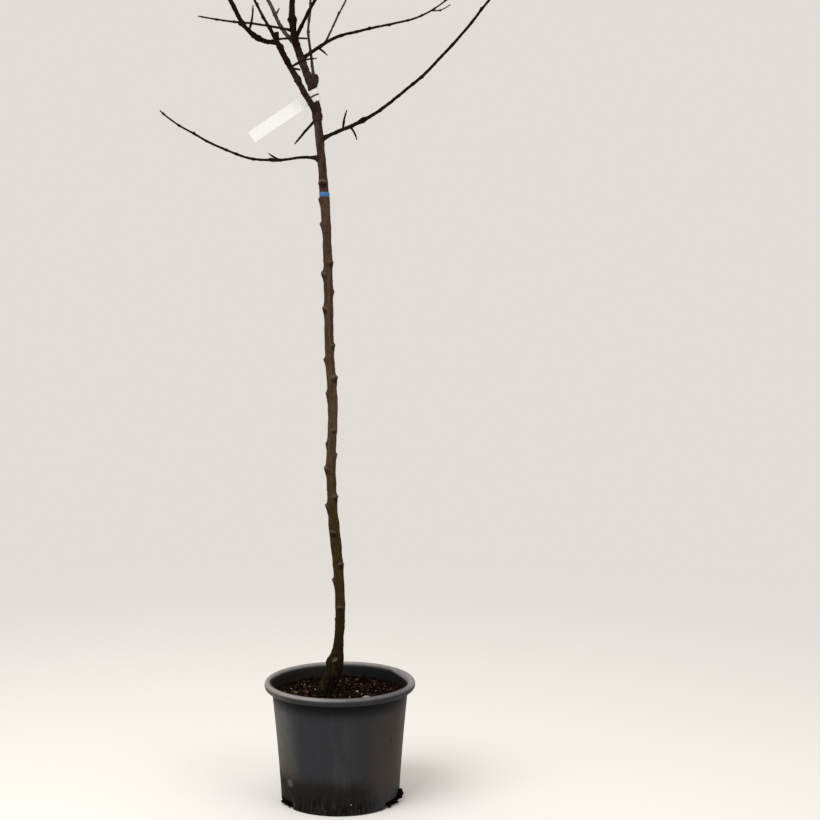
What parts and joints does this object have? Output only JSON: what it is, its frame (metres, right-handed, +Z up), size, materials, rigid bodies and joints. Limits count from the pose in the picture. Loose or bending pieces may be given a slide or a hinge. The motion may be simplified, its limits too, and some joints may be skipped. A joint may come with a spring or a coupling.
{
  "type": "potted half-standard apple tree, bare in winter",
  "caption": "Young half-standard fruit tree with a slender knotted trunk and an open, leafless crown, standing in a round plastic nursery pot with a rolled rim.",
  "frame": {"origin": "centre of the pot's flat underside, on the ground", "axes": "+Z up along the trunk, +X to the right of the view in the picture, +Y away from the viewer"},
  "size_m": [0.7405, 0.4882, 2.1193],
  "materials": {
    "pot": "charcoal moulded plastic, dusty, with a dull sheen",
    "soil": "dark brown mix of bark and peat, with pale bits",
    "trunk_bark": "young bark, reddish brown above and olive green below",
    "bough_bark": "dark purplish brown bark with a grey bloom and pale dots",
    "twigs": "dark brown shoots of the last summer, with grey buds",
    "label": "blank white plastic strap",
    "band": "blue mark round the trunk"
  },
  "bodies": {
    "root": {"pot": "pot", "soil": "soil", "trunk": "trunk_bark", "leader_bough": "bough_bark", "leader_twigs": "twigs", "low_left_bough": "bough_bark", "low_left_twigs": "twigs", "low_right_bough": "bough_bark", "low_right_twigs": "twigs", "main_left_bough": "bough_bark", "main_left_twigs": "twigs", "outer_left_bough": "bough_bark", "outer_left_twigs": "twigs", "rear_left_bough": "bough_bark", "rear_left_twigs": "twigs", "right_fork_bough": "bough_bark", "right_fork_twigs": "twigs", "upper_right_bough": "bough_bark", "upper_right_twigs": "twigs", "rear_right_bough": "bough_bark", "rear_right_twigs": "twigs", "thin_left_twigs": "twigs", "slender_twigs": "twigs", "low_shoot_twigs": "twigs", "label": "label", "band": "band"}
  },
  "joints": []
}
